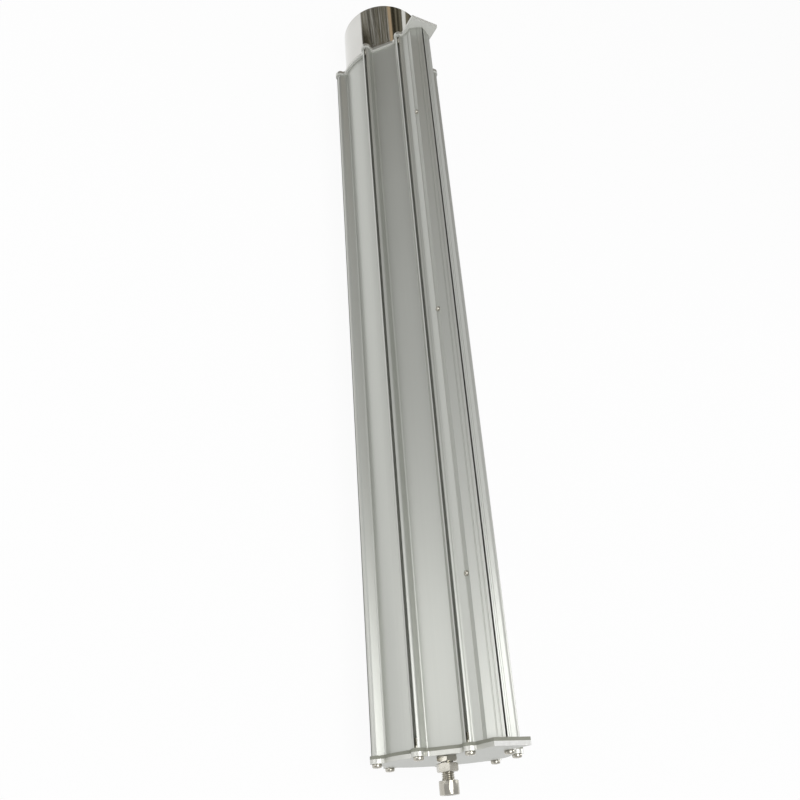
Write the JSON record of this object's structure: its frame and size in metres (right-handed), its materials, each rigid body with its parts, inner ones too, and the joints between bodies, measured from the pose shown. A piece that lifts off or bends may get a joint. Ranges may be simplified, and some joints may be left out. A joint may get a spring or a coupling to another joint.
{
  "type": "compressed air knife",
  "caption": "Long extruded air knife with a round plenum, a slot nozzle, gasketed end plates, a duct inlet tube and a mounting bolt.",
  "frame": {"origin": "centre of the bounding box's bottom, on the surface that the end plates' lowest lugs lie on", "axes": "+Y along the body from the blind end to the inlet tube, +Z the way the air leaves the slot"},
  "size_m": [0.1456, 1.035, 0.1828],
  "materials": {
    "body_aluminium": "satin anodised extrusion",
    "plate_aluminium": "rolled faces, bright cut edges",
    "gasket_rubber": "matt grey sheet",
    "polished_tube": "mirror polished stainless steel",
    "stainless_fastener": "bright stainless steel"
  },
  "bodies": {
    "root": {"blind_end_plate": "plate_aluminium", "blind_end_screw_1": "stainless_fastener", "blind_end_screw_2": "stainless_fastener", "blind_end_screw_3": "stainless_fastener", "blind_end_screw_4": "stainless_fastener", "blind_end_screw_5": "stainless_fastener", "blind_end_screw_6": "stainless_fastener", "blind_end_screw_7": "stainless_fastener", "blind_end_screw_8": "stainless_fastener", "blind_gasket": "gasket_rubber", "extruded_body": "body_aluminium", "gap_screw_1": "stainless_fastener", "gap_screw_2": "stainless_fastener", "gap_screw_3": "stainless_fastener", "inlet_end_plate": "plate_aluminium", "inlet_end_screw_1": "stainless_fastener", "inlet_end_screw_2": "stainless_fastener", "inlet_end_screw_3": "stainless_fastener", "inlet_end_screw_4": "stainless_fastener", "inlet_end_screw_5": "stainless_fastener", "inlet_end_screw_6": "stainless_fastener", "inlet_end_screw_7": "stainless_fastener", "inlet_end_screw_8": "stainless_fastener", "inlet_gasket": "gasket_rubber", "inlet_tube": "polished_tube", "lock_nut": "stainless_fastener", "mounting_bolt": "stainless_fastener", "weld_nut": "stainless_fastener"}
  },
  "joints": []
}
